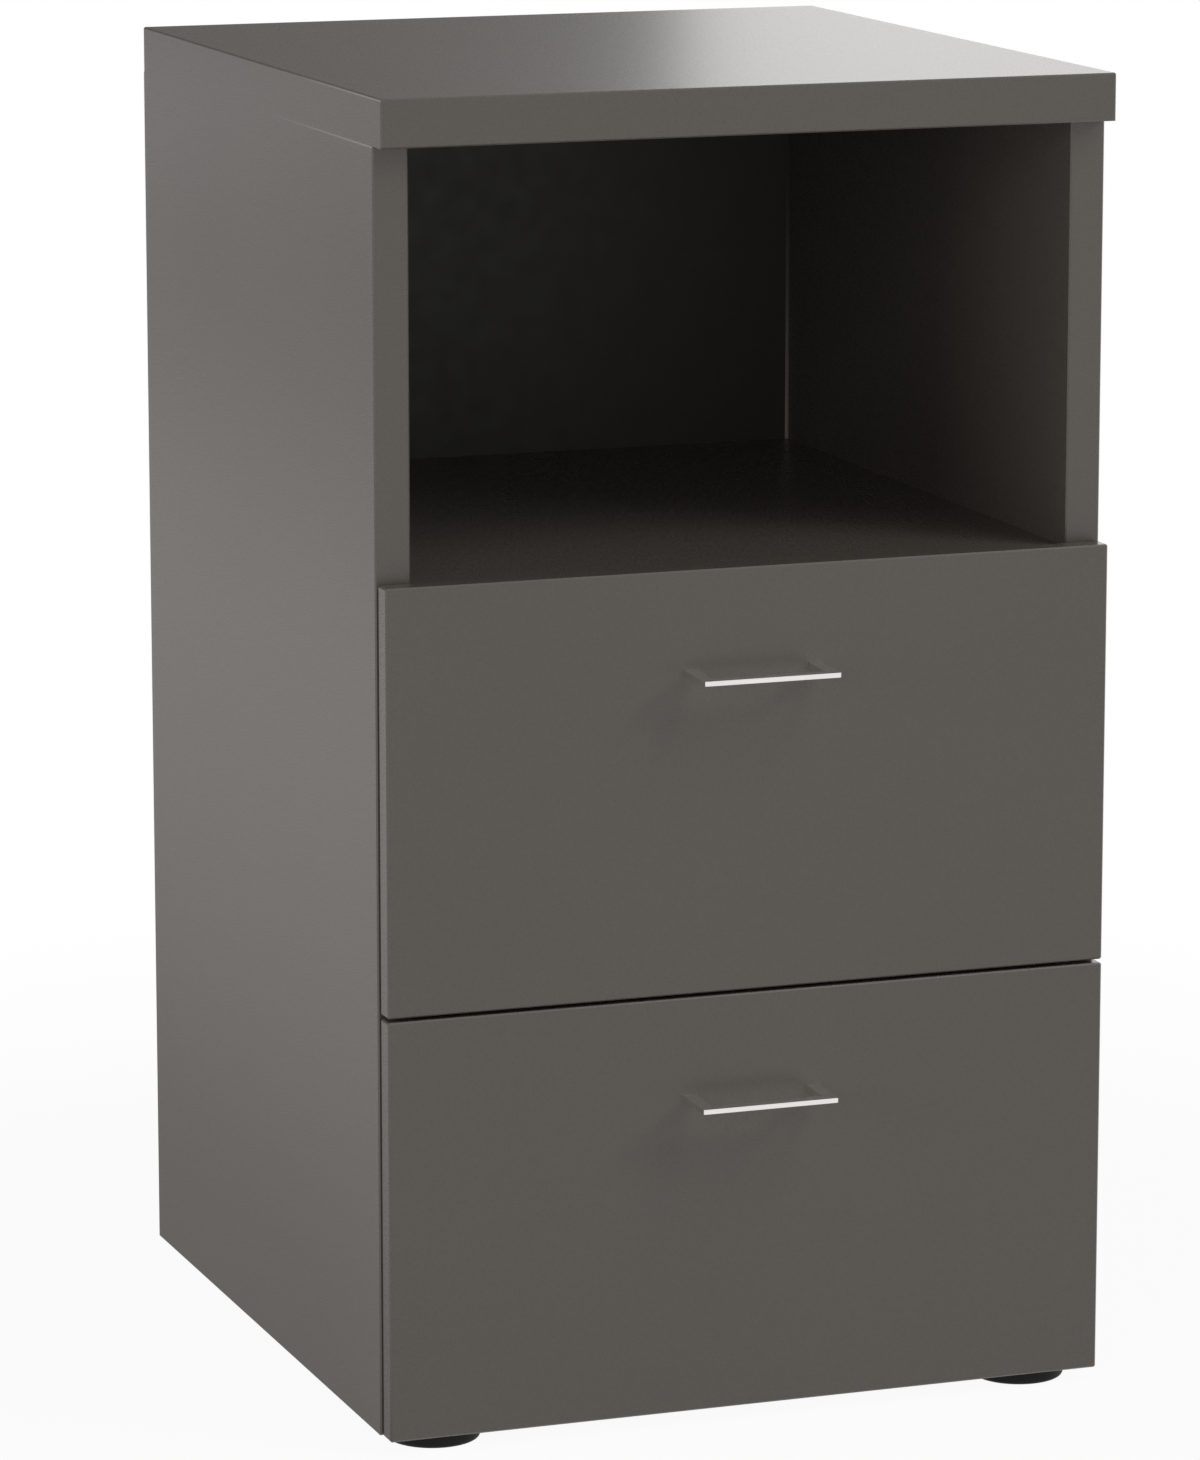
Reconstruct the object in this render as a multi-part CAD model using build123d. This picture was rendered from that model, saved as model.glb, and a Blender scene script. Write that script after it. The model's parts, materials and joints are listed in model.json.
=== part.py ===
from build123d import *
import os
from math import sqrt

# Nightstand with an open compartment above two drawers that run on roller runners.
# Millimetres. X to the right, Y to the back, Z up. The origin lies on the floor, at the
# middle of the width and of the whole depth, handles included.

# ---------------------------------------------------------------- carcass boards
cabinet_width = 400.0
carcass_depth = 410.0
side_thickness = 19.0
top_thickness = 25.0
shelf_thickness = 16.0
bottom_thickness = 16.0
compartment_height = 224.0
edge_ease = 0.8

# ---------------------------------------------------------------- back panel
back_thickness = 3.0
back_inset = 10.0
back_groove_depth = 7.0
back_groove_play = 0.1
back_edge_play = 0.4

# ---------------------------------------------------------------- drawer fronts
front_thickness = 12.0
front_height = 223.0
front_gap = 2.0
front_side_inset = 0.9
front_over_shelf = 2.0
bumper_gap = 2.0
bumper_play = 0.3
bumper_radius = 4.0
bumper_edge_distance = 14.0

# ---------------------------------------------------------------- drawer boxes
box_thickness = 12.0
box_below_front_top = 47.0
box_groove_depth = 5.0
box_groove_height = 10.0
box_bottom_thickness = 3.0
box_groove_play = 0.1
box_edge_play = 0.3
drawer_travel = 260.0

# ---------------------------------------------------------------- bow handles
handle_length = 75.0
handle_projection = 29.0
handle_bar_height = 2.5
handle_bar_depth = 7.0
handle_leg_width = 6.5
handle_sole_width = 7.5
handle_sole_height = 4.4
handle_corner_radius = 1.0
handle_below_front_top = 54.0
handle_screw_radius = 1.5
handle_screw_grip = 7.0
handle_screw_head_radius = 3.6
handle_screw_head_height = 2.2

# ---------------------------------------------------------------- roller runners
side_gap = 12.5
rail_length = 350.0
rail_setback = 3.0
rail_sheet = 1.2
rail_bend_radius = 1.2
rail_above_bottom = 5.8
rail_lip_height = 1.5
rail_running_gap = 0.3
rail_ceiling_gap = 0.4
rail_ceiling_width = 7.0
rail_open_length = 40.0
box_above_track = 3.0
drawer_flange_width = 8.5
drawer_ledge_width = 10.0
rear_stop_height = 12.0
stop_tab_height = 2.0

# ---------------------------------------------------------------- rollers and their pins
roller_radius = 7.5
roller_width = 6.0
roller_bore_play = 0.05
roller_web_play = 2.0
roller_head_play = 0.3
pin_radius = 2.5
pin_head_radius = 4.0
pin_head_height = 0.8
front_roller_inset = 11.0
rear_roller_inset = 12.0

# ---------------------------------------------------------------- screws
screw_radius = 1.75
screw_play = 0.05
rail_screw_length = 14.0
rail_screw_head_radius = 2.9
box_screw_length = 9.5
box_screw_head_radius = 3.2
box_screw_head_height = 1.6
box_screw_from_face = 5.0
rail_screw_front_margin = 34.0
rail_screw_rear_margin = 28.0

# ---------------------------------------------------------------- dowels
dowel_radius = 4.0
dowel_length = 30.0
dowel_blind_depth = 12.0
dowel_play = 0.05
dowel_end_gap = 0.5
dowel_end_distance = 45.0
box_dowel_radius = 3.0
box_dowel_length = 24.0
box_dowel_blind_depth = 7.5
box_dowel_end_distance = 30.0

# ---------------------------------------------------------------- feet
foot_height = 8.0
foot_radius = 25.0
foot_rim_ease = 2.2
foot_spigot_radius = 4.0
foot_spigot_length = 13.0
foot_inset_side = 33.9
foot_inset_front = 30.5

# ---------------------------------------------------------------- number of flats
# Dowels, screws and pins are many-sided instead of round, which keeps the many copies
# light. A dowel or screw sits in a hole with as many flats.
peg_sides = 6
head_sides = 12
shaft_sides = 20

# ---------------------------------------------------------------- derived places
front_reach = bumper_gap + front_thickness + handle_projection
side_front = front_reach - (carcass_depth + front_reach) / 2
side_back = side_front + carcass_depth
front_back_face = side_front - bumper_gap
front_face = front_back_face - front_thickness
back_outer = side_back - back_inset
back_inner = back_outer - back_thickness

half_width = cabinet_width / 2
inner_half = half_width - side_thickness
box_half = inner_half - side_gap
box_inner_half = box_half - box_thickness

base = foot_height
front_bottom = {"lower": base, "upper": base + front_height + front_gap}
shelf_top = front_bottom["upper"] + front_height - front_over_shelf
shelf_bottom = shelf_top - shelf_thickness
side_top = shelf_top + compartment_height
cabinet_top = side_top + top_thickness

track_rise = bottom_thickness + rail_above_bottom + rail_sheet
box_rise = track_rise + box_above_track
box_height = front_height - box_rise - box_below_front_top
box_front = front_back_face
box_rear = box_front + rail_length
rail_front = side_front + rail_setback
axle_height = rail_running_gap + roller_radius
flange_under = axle_height + roller_radius + rail_running_gap
ceiling_under = flange_under + rail_sheet + rail_ceiling_gap
web_middle = ceiling_under / 2
front_roller_y = rail_front + front_roller_inset
rear_roller_y = box_rear - rear_roller_inset

level_names = ("upper", "lower")
hand_names = ("left", "right")


# ---------------------------------------------------------------- helpers
def board(x_limits, y_limits, z_limits):
    """A rectangular board between the given limits on each axis."""
    size = [abs(b - a) for a, b in (x_limits, y_limits, z_limits)]
    centre = [(a + b) / 2 for a, b in (x_limits, y_limits, z_limits)]
    return Pos(*centre) * Box(*size)


def turned(profile, origin, direction):
    """A turned solid: (radius, distance) points spun about an axis that leaves origin."""
    outline = Plane.XZ * Polygon(*profile, align=None)
    return Plane(origin=origin, z_dir=direction) * revolve(outline, axis=Axis.Z)


def peg(radius, start, end, origin, direction, sides=peg_sides):
    """A many-sided peg, or its hole, between two distances along an axis from origin."""
    outline = RegularPolygon(radius, sides)
    return Plane(origin=origin, z_dir=direction) * Pos(0, 0, start) * extrude(outline, amount=end - start)


def handed(hand, left_piece):
    """The left-hand piece itself, or its mirror image on the right."""
    return left_piece if hand == "left" else mirror(left_piece, about=Plane.YZ)


def both_hands(left_pieces):
    """The left-hand pieces and their mirror images."""
    return left_pieces + [handed("right", piece) for piece in left_pieces]


def cut(solid, tools):
    """The solid less every tool."""
    for tool in tools:
        solid = solid - tool
    return solid


def pan_screw(shank, length, head, head_height, play, origin, direction):
    """A pan-head screw whose head lies behind origin, or the hole for it."""
    screw = peg(shank + play, 0, length + play, origin, direction)
    return screw + peg(head, -head_height, 0, origin, direction, head_sides)


def countersunk_screw(play, origin, direction):
    """A countersunk runner screw with its flat head flush at origin, or the hole for it."""
    outlines = [RegularPolygon(rail_screw_head_radius + play, peg_sides)]
    outlines.append(Pos(0, 0, rail_sheet) * RegularPolygon(screw_radius + play, peg_sides))
    head = Plane(origin=origin, z_dir=direction) * loft(outlines, ruled=True)
    return head + peg(screw_radius + play, rail_sheet, rail_screw_length + play, origin, direction)


# ---------------------------------------------------------------- joints between boards
def shelf_levels():
    """The lower face and the thickness of each horizontal board between the sides."""
    return [(shelf_bottom, shelf_thickness), (base, bottom_thickness)]


def dowel_depths():
    """The y of the two dowels at each end of a carcass board."""
    return [side_front + dowel_end_distance, back_inner - dowel_end_distance]


def carcass_pegs(places, direction, play, end_gap):
    """A dowel at each place, or its hole, mostly on the side that direction points to."""
    start = -dowel_blind_depth - end_gap
    end = dowel_length - dowel_blind_depth + end_gap
    return [peg(dowel_radius + play, start, end, place, direction) for place in places]


def shelf_dowels(play, end_gap):
    """The left-hand dowels of the shelf and bottom, or their holes with play and end gap."""
    places = [(-inner_half, y, low + thick / 2) for low, thick in shelf_levels() for y in dowel_depths()]
    return carcass_pegs(places, (1, 0, 0), play, end_gap)


def top_dowels(play, end_gap):
    """The left-hand dowels between side panel and top, or their holes."""
    places = [(-half_width + side_thickness / 2, y, side_top) for y in dowel_depths()]
    return carcass_pegs(places, (0, 0, -1), play, end_gap)


# ---------------------------------------------------------------- carcass
def groove_width():
    """The y limits of the groove that holds the back panel."""
    return (back_inner - back_groove_play, back_outer + back_groove_play)


def screw_depths():
    """The y of the two screws of each rail."""
    return [rail_front + rail_screw_front_margin, rail_front + rail_length - rail_screw_rear_margin]


def rail_screws(level, play):
    """The countersunk screws of one left-hand cabinet rail, or their holes."""
    x = -inner_half + rail_sheet
    z = front_bottom[level] + track_rise + web_middle
    return [countersunk_screw(play, (x, y, z), (-1, 0, 0)) for y in screw_depths()]


def side_panel(hand):
    """A side panel with its groove and the holes for dowels and runner screws."""
    panel = board((-half_width, -inner_half), (side_front, side_back), (base, side_top))
    panel = chamfer(panel.faces().sort_by(Axis.Y)[0].edges(), edge_ease)
    groove = board((-inner_half - back_groove_depth, -inner_half), groove_width(), (base, side_top))
    holes = shelf_dowels(dowel_play, dowel_end_gap) + top_dowels(dowel_play, dowel_end_gap)
    for level in level_names:
        holes += rail_screws(level, screw_play)
    return handed(hand, cut(panel, [groove] + holes))


def top_panel():
    """The top, flush with the sides and the drawer fronts, with sharp edges where it meets the sides."""
    panel = board((-half_width, half_width), (front_face, side_back), (side_top, cabinet_top))
    sharp_edges = panel.edges().group_by(Axis.Z)[0].sort_by(Axis.Y)[1:]
    panel = chamfer(panel.edges() - sharp_edges, edge_ease)
    reach = inner_half + back_groove_depth
    groove = board((-reach, reach), groove_width(), (side_top, side_top + back_groove_depth))
    return cut(panel, [groove] + both_hands(top_dowels(dowel_play, dowel_end_gap)))


def horizontal_board(lower_face, thickness):
    """A board between the sides, drilled at both ends for its dowels."""
    z_limits = (lower_face, lower_face + thickness)
    panel = board((-inner_half, inner_half), (side_front, back_inner), z_limits)
    return cut(panel, both_hands(shelf_dowels(dowel_play, dowel_end_gap)))


def bottom_panel():
    """The bottom panel, also drilled for the spigots of the feet."""
    sockets = [peg(foot_spigot_radius + dowel_play, -dowel_end_gap, foot_spigot_length + dowel_end_gap,
                   (x, y, base), (0, 0, 1)) for x, y in foot_places()]
    return cut(horizontal_board(base, bottom_thickness), sockets)


def back_panel():
    """The thin back panel, held in the grooves of sides and top."""
    reach = inner_half + back_groove_depth - back_edge_play
    top_edge = side_top + back_groove_depth - back_edge_play
    return board((-reach, reach), (back_inner, back_outer), (base, top_edge))


# ---------------------------------------------------------------- feet
def foot_places():
    """The x and y of each foot's centre."""
    x = half_width - foot_inset_side
    return [(sign * x, y) for y in (front_face + foot_inset_front, side_back - foot_inset_front)
            for sign in (-1, 1)]


def foot(place):
    """A round glide with an eased rim and a spigot for the bottom panel."""
    origin = (place[0], place[1], 0)
    profile = [(0, 0), (foot_radius - foot_rim_ease, 0), (foot_radius, foot_rim_ease)]
    profile += [(foot_radius, foot_height), (0, foot_height)]
    spigot = peg(foot_spigot_radius, foot_height, foot_height + foot_spigot_length, origin, (0, 0, 1))
    return turned(profile, origin, (0, 0, 1)) + spigot


# ---------------------------------------------------------------- roller runners
def sheet_section(points):
    """The outline of bent sheet metal that follows points along the middle of the sheet."""
    return trace(FilletPolyline(*points, radius=rail_bend_radius), rail_sheet)


def cabinet_rail(level, hand):
    """The C-shaped rail on the side panel: web, rolled track with a lip, and ceiling."""
    half = rail_sheet / 2
    ceiling = ceiling_under + half
    lip = side_gap - rail_sheet - rail_running_gap - half
    points = [(rail_ceiling_width, ceiling), (half, ceiling), (half, -half)]
    points += [(lip, -half), (lip, rail_lip_height)]
    rail = extrude(Plane.XZ * sheet_section(points), amount=-rail_length)
    rear_stop = board((half, lip - half), (rail_length - rail_sheet, rail_length), (-half, rear_stop_height))
    open_end = board((rail_sheet, side_gap), (0, rail_open_length), (flange_under, ceiling + rail_sheet))
    rail = rail + rear_stop + stop_tab(lip - half) - open_end
    place = Pos(-inner_half, rail_front, front_bottom[level] + track_rise)
    return handed(hand, cut(place * rail, rail_screws(level, screw_play)))


def stop_tab(track_edge):
    """The tab bent up across the track, which the rear roller meets when the drawer is fully open."""
    reach = roller_radius + rail_running_gap
    rise = axle_height - stop_tab_height
    rear_face = rear_roller_y - drawer_travel - rail_front - sqrt(reach**2 - rise**2)
    margin = rail_sheet + rail_bend_radius
    depth_limits = (rear_face - rail_sheet, rear_face)
    return board((margin, track_edge - margin), depth_limits, (-rail_sheet / 2, stop_tab_height))


def drawer_rail(level, hand):
    """The rail under the drawer side: a ledge, a web and the flange that rolls on the front roller."""
    half = rail_sheet / 2
    web = side_gap - half
    ledge = box_above_track - half
    flange = flange_under + half
    points = [(side_gap - rail_sheet - drawer_flange_width, flange), (web, flange)]
    points += [(web, ledge), (side_gap + drawer_ledge_width, ledge)]
    rail = extrude(Plane.XZ * sheet_section(points), amount=-rail_length)
    place = Pos(-inner_half, box_front, front_bottom[level] + track_rise)
    return handed(hand, cut(place * rail, box_screws(level, screw_play)))


def box_screws(level, play):
    """The screws from the left-hand ledge up into the drawer side, or their holes."""
    x = -box_half + box_screw_from_face
    z = front_bottom[level] + box_rise - rail_sheet
    return [pan_screw(screw_radius, box_screw_length, box_screw_head_radius, box_screw_head_height,
                      play, (x, y, z), (0, 0, 1)) for y in screw_depths()]


# ---------------------------------------------------------------- rollers
def pin_place(level, end):
    """Where a roller's pin leaves its left-hand rail, and which way it points."""
    z = front_bottom[level] + track_rise + axle_height
    if end == "front":
        return ((-inner_half + rail_sheet, front_roller_y, z), (1, 0, 0))
    return ((-box_half - rail_sheet, rear_roller_y, z), (-1, 0, 0))


def roller_pin(level, end):
    """The pin of a left-hand roller: a bearing shaft with a flat head."""
    place = pin_place(level, end)
    shaft_end = roller_web_play + roller_width + roller_head_play
    head = peg(pin_head_radius, shaft_end, shaft_end + pin_head_height, *place, head_sides)
    return peg(pin_radius, 0, shaft_end, *place, shaft_sides) + head


def roller(level, end, hand):
    """A nylon roller that turns on its pin between web and head."""
    bore = pin_radius + roller_bore_play
    near = roller_web_play
    far = roller_web_play + roller_width
    profile = [(bore, near), (roller_radius, near), (roller_radius, far), (bore, far)]
    return handed(hand, turned(profile, *pin_place(level, end)))


# ---------------------------------------------------------------- drawers
def box_bottom_z(level):
    """The z of the lower edge of a drawer box."""
    return front_bottom[level] + box_rise


def box_groove(level):
    """The z limits of the groove round the inside of a drawer box."""
    low = box_bottom_z(level) + box_groove_height
    return (low, low + box_bottom_thickness + 2 * box_groove_play)


def box_dowels(level, play, end_gap):
    """The left-hand dowels from front to side and from side to back, or their holes."""
    low = box_bottom_z(level)
    start = -box_dowel_blind_depth - end_gap
    end = box_dowel_length - box_dowel_blind_depth + end_gap
    side_middle = -box_half + box_thickness / 2
    back_middle = box_rear - box_thickness / 2
    pegs = []
    for z in (low + box_dowel_end_distance, low + box_height - box_dowel_end_distance):
        pegs.append(peg(box_dowel_radius + play, start, end, (side_middle, box_front, z), (0, 1, 0)))
        pegs.append(peg(box_dowel_radius + play, start, end, (-box_inner_half, back_middle, z), (1, 0, 0)))
    return pegs


def drawer_front(level):
    """A drawer front with eased edges, a groove for the drawer bottom, and its holes."""
    half = half_width - front_side_inset
    low = front_bottom[level]
    panel = board((-half, half), (front_face, front_back_face), (low, low + front_height))
    panel = chamfer(panel.edges(), edge_ease)
    reach = box_inner_half + box_groove_depth
    groove = board((-reach, reach), (front_back_face - box_groove_depth, front_back_face), box_groove(level))
    holes = both_hands(box_dowels(level, dowel_play, dowel_end_gap)) + handle_screws(level, screw_play)
    return cut(panel, [groove] + holes)


def drawer_side(level, hand):
    """A side of the drawer box, eased along its top and where it sits in the rail's bend."""
    low = box_bottom_z(level)
    panel = board((-box_half, -box_inner_half), (box_front, box_rear), (low, low + box_height))
    top_edges = panel.edges().filter_by(Axis.Y).group_by(Axis.Z)[-1]
    seat_edge = panel.edges().filter_by(Axis.Y).group_by(Axis.Z)[0].sort_by(Axis.X)[:1]
    panel = chamfer(top_edges + seat_edge, edge_ease)
    groove_limits = (-box_inner_half - box_groove_depth, -box_inner_half)
    groove = board(groove_limits, (box_front, box_rear), box_groove(level))
    holes = box_dowels(level, dowel_play, dowel_end_gap) + box_screws(level, screw_play)
    return handed(hand, cut(panel, [groove] + holes))


def drawer_back(level):
    """The back of the drawer box, between its sides."""
    low = box_bottom_z(level)
    inner_face = box_rear - box_thickness
    panel = board((-box_inner_half, box_inner_half), (inner_face, box_rear), (low, low + box_height))
    panel = chamfer(panel.edges().filter_by(Axis.X).group_by(Axis.Z)[-1], edge_ease)
    groove_limits = (inner_face, inner_face + box_groove_depth)
    groove = board((-box_inner_half, box_inner_half), groove_limits, box_groove(level))
    return cut(panel, [groove] + both_hands(box_dowels(level, dowel_play, dowel_end_gap)))


def drawer_bottom(level):
    """The thin drawer bottom, held in the groove on all four sides."""
    reach = box_groove_depth - box_edge_play
    half = box_inner_half + reach
    low = box_groove(level)[0] + box_groove_play
    depth_limits = (front_back_face - reach, box_rear - box_thickness + reach)
    return board((-half, half), depth_limits, (low, low + box_bottom_thickness))


def bumpers(level):
    """The four soft bumpers behind the front, opposite the edges of the side panels."""
    low = front_bottom[level]
    x = -half_width + side_thickness / 2
    heights = (low + bumper_edge_distance, low + front_height - bumper_edge_distance)
    thickness = bumper_gap - bumper_play
    return both_hands([peg(bumper_radius, 0, thickness, (x, front_back_face, z), (0, 1, 0), head_sides)
                       for z in heights])


# ---------------------------------------------------------------- handles
def handle_height(level):
    """The z of a handle's middle."""
    return front_bottom[level] + front_height - handle_below_front_top


def handle_leg_x():
    """The distance of each leg's middle from the handle's middle."""
    return (handle_length - handle_leg_width) / 2


def wedge(width, wide, reach):
    """A flat outline that widens from the bar, at a distance of reach, to the drawer front."""
    return Polygon((-width / 2, -reach), (width / 2, -reach), (wide / 2, 0), (-wide / 2, 0), align=None)


def handle_leg(reach):
    """One leg, whose sole on the drawer front is larger than its neck at the bar."""
    plan = extrude(wedge(handle_leg_width, handle_sole_width, reach), handle_sole_height / 2, both=True)
    side_view = wedge(handle_bar_height, handle_sole_height, reach)
    return plan & Rot(0, 90, 0) * extrude(side_view, handle_sole_width / 2, both=True)


def handle(level):
    """A flat bow handle: a bar with rounded corners on legs that thicken towards the front."""
    leg_length = handle_projection - handle_bar_depth
    bar = board((-handle_length / 2, handle_length / 2), (-handle_projection, -leg_length),
                (-handle_bar_height / 2, handle_bar_height / 2))
    bar = fillet(bar.edges().filter_by(Axis.Z).group_by(Axis.Y)[0], handle_corner_radius)
    bow = bar + [Pos(sign * handle_leg_x(), 0, 0) * handle_leg(leg_length) for sign in (-1, 1)]
    return cut(Pos(0, front_face, handle_height(level)) * bow, handle_screws(level, screw_play))


def handle_screws(level, play):
    """The two screws through the drawer front into the handle's legs, or their holes."""
    length = front_thickness + handle_screw_grip
    return [pan_screw(handle_screw_radius, length, handle_screw_head_radius, handle_screw_head_height,
                      play, (sign * handle_leg_x(), front_back_face, handle_height(level)), (0, -1, 0))
            for sign in (-1, 1)]


# ---------------------------------------------------------------- all pieces
def carcass_pieces():
    """Every piece that stands still."""
    pieces = {"top_panel": top_panel(), "bottom_panel": bottom_panel(), "back_panel": back_panel()}
    pieces["shelf_panel"] = horizontal_board(shelf_bottom, shelf_thickness)
    for hand in hand_names:
        pieces[f"{hand}_side_panel"] = side_panel(hand)
    pieces["feet"] = Compound([foot(place) for place in foot_places()])
    pieces["carcass_dowels"] = Compound(both_hands(shelf_dowels(0, 0) + top_dowels(0, 0)))
    for level in level_names:
        for hand in hand_names:
            pieces[f"{level}_{hand}_cabinet_rail"] = cabinet_rail(level, hand)
    screws = [screw for level in level_names for screw in rail_screws(level, 0)]
    pieces["cabinet_rail_screws"] = Compound(both_hands(screws))
    pieces["front_roller_pins"] = Compound(both_hands([roller_pin(level, "front") for level in level_names]))
    return pieces


def drawer_pieces(level):
    """Every piece of one drawer, apart from its rollers."""
    name = f"{level}_drawer"
    pieces = {f"{name}_front": drawer_front(level), f"{name}_back": drawer_back(level)}
    pieces[f"{name}_bottom"] = drawer_bottom(level)
    pieces[f"{name}_handle"] = handle(level)
    pieces[f"{name}_handle_screws"] = Compound(handle_screws(level, 0))
    for hand in hand_names:
        pieces[f"{name}_{hand}_side"] = drawer_side(level, hand)
        pieces[f"{name}_{hand}_rail"] = drawer_rail(level, hand)
    pieces[f"{name}_rail_screws"] = Compound(both_hands(box_screws(level, 0)))
    pieces[f"{name}_dowels"] = Compound(both_hands(box_dowels(level, 0, 0)))
    pieces[f"{name}_roller_pins"] = Compound(both_hands([roller_pin(level, "rear")]))
    pieces[f"{name}_bumpers"] = Compound(bumpers(level))
    return pieces


def roller_pieces():
    """The rollers, which turn as the drawers slide."""
    return {f"{level}_{hand}_{end}_roller": roller(level, end, hand)
            for level in level_names for hand in hand_names for end in ("front", "rear")}


os.makedirs("parts", exist_ok=True)
all_pieces = carcass_pieces()
for level in level_names:
    all_pieces.update(drawer_pieces(level))
all_pieces.update(roller_pieces())
for node, shape in all_pieces.items():
    export_step(shape, f"parts/{node}.step")
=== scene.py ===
import json
from math import cos, pi, radians, sin

import bmesh
import bpy
from mathutils import Matrix, Vector


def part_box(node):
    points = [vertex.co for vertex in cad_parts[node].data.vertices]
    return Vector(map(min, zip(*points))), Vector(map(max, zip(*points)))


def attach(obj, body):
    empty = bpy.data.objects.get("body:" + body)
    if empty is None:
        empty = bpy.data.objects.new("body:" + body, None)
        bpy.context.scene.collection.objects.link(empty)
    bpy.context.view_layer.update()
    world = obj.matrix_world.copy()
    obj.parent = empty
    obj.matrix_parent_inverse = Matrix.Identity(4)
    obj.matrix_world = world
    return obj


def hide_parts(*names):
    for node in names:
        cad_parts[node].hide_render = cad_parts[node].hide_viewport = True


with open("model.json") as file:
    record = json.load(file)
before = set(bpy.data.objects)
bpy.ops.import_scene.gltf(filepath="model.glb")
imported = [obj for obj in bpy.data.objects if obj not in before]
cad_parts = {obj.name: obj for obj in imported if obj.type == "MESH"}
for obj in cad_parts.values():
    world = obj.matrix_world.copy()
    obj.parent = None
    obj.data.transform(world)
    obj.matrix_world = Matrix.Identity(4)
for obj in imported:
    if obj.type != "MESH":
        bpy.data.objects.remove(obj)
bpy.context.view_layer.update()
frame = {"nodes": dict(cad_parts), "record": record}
nodes = frame["nodes"]

MM = 0.001
X, Y, Z = 0, 1, 2
LEVELS = ("upper", "lower")
HANDS = ("left", "right")
ENDS = ("front", "rear")


# ---------------------------------------------------------------- materials
def linear(red, green, blue):
    """A colour given on the 0 to 255 display scale, as linear values."""
    def channel(value):
        value /= 255
        return value / 12.92 if value <= 0.04045 else ((value + 0.055) / 1.055) ** 2.4
    return (channel(red), channel(green), channel(blue), 1.0)


def scaled(colour, factor):
    """The colour made darker or lighter."""
    return (colour[0] * factor, colour[1] * factor, colour[2] * factor, 1.0)


class Finish:
    """A procedural material: one Principled shader and the nodes that feed it."""

    def __init__(self, name, **sockets):
        self.material = bpy.data.materials.new(name)
        self.material.use_nodes = True
        self.tree = self.material.node_tree
        self.shader = self.tree.nodes["Principled BSDF"]
        self.place = self.tree.nodes.new("ShaderNodeTexCoord").outputs["Object"]
        for socket, value in sockets.items():
            self.shader.inputs[socket.replace("_", " ")].default_value = value

    def node(self, kind, **settings):
        """A new node with the given settings."""
        made = self.tree.nodes.new(kind)
        for key, value in settings.items():
            setattr(made, key, value)
        return made

    def link(self, source, target):
        """Links an output to an input."""
        self.tree.links.new(source, target)

    def math(self, operation, first, second=None):
        """A Math node on outputs or numbers."""
        made = self.node("ShaderNodeMath", operation=operation)
        for socket, value in zip(made.inputs, (first, second)):
            if isinstance(value, (int, float)):
                socket.default_value = value
            elif value is not None:
                self.link(value, socket)
        return made.outputs[0]

    def axes(self):
        """The x, y and z of the surface in the row frame, at rest."""
        split = self.node("ShaderNodeSeparateXYZ")
        self.link(self.place, split.inputs[0])
        return split.outputs[X], split.outputs[Y], split.outputs[Z]

    def noise(self, scale, detail=3.0, stretch=(1, 1, 1), roughness=0.5):
        """Noise with about scale features a metre, stretched along any axis below 1."""
        mapping = self.node("ShaderNodeMapping")
        mapping.inputs["Scale"].default_value = stretch
        self.link(self.place, mapping.inputs["Vector"])
        noise = self.node("ShaderNodeTexNoise")
        noise.inputs["Scale"].default_value = scale
        noise.inputs["Detail"].default_value = detail
        noise.inputs["Roughness"].default_value = roughness
        self.link(mapping.outputs[0], noise.inputs["Vector"])
        return noise.outputs["Fac"]

    def ramp(self, factor, stops):
        """A colour ramp with (position, colour) stops."""
        ramp = self.node("ShaderNodeValToRGB")
        elements = ramp.color_ramp.elements
        while len(elements) < len(stops):
            elements.new(1.0)
        for element, (position, colour) in zip(elements, stops):
            element.position = position
            element.color = colour
        self.link(factor, ramp.inputs[0])
        return ramp.outputs[0]

    def shades(self, factor, colour, dark, light):
        """The colour made darker and lighter; dark and light are (position, share) stops."""
        return self.ramp(factor, [(place, scaled(colour, share)) for place, share in (dark, light)])

    def mix(self, factor, first, second):
        """A colour that goes from first to second as factor goes from 0 to 1."""
        mix = self.node("ShaderNodeMix", data_type="RGBA")
        self.link(factor, mix.inputs[0])
        for socket, value in ((mix.inputs[6], first), (mix.inputs[7], second)):
            if isinstance(value, tuple):
                socket.default_value = value
            else:
                self.link(value, socket)
        return mix.outputs[2]

    def span(self, factor, first, last, start=0.0, end=1.0, smooth=False):
        """A number that goes from first to last as factor goes from start to end."""
        span = self.node("ShaderNodeMapRange")
        if smooth:
            span.interpolation_type = "SMOOTHSTEP"
        for socket, value in (("From Min", start), ("From Max", end),
                              ("To Min", first), ("To Max", last)):
            span.inputs[socket].default_value = value
        self.link(factor, span.inputs["Value"])
        return span.outputs[0]

    def band(self, value, low, high):
        """1 where value lies between low and high, and 0 elsewhere."""
        return self.math("MULTIPLY", self.math("GREATER_THAN", value, low),
                         self.math("LESS_THAN", value, high))

    def colour(self, output):
        """Takes the colour from an output."""
        self.link(output, self.shader.inputs["Base Color"])

    def roughness(self, factor, low, high):
        """Roughness that varies with a factor between low and high."""
        self.link(self.span(factor, low, high), self.shader.inputs["Roughness"])

    def bump(self, height, depth, strength):
        """Relief of the given depth in metres."""
        bump = self.node("ShaderNodeBump")
        bump.inputs["Strength"].default_value = strength
        bump.inputs["Distance"].default_value = depth
        self.link(height, bump.inputs["Height"])
        self.link(bump.outputs[0], self.shader.inputs["Normal"])


TAUPE = linear(96, 90, 84)
# A pale tone for painted light: the painted highlight lines along the boards' top outer edges and
# the painted light leak at the back panel's groove.
PALE_PAINTED_LIGHT = linear(196, 188, 176)
CLOUD_SHARE = 0.6
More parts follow.
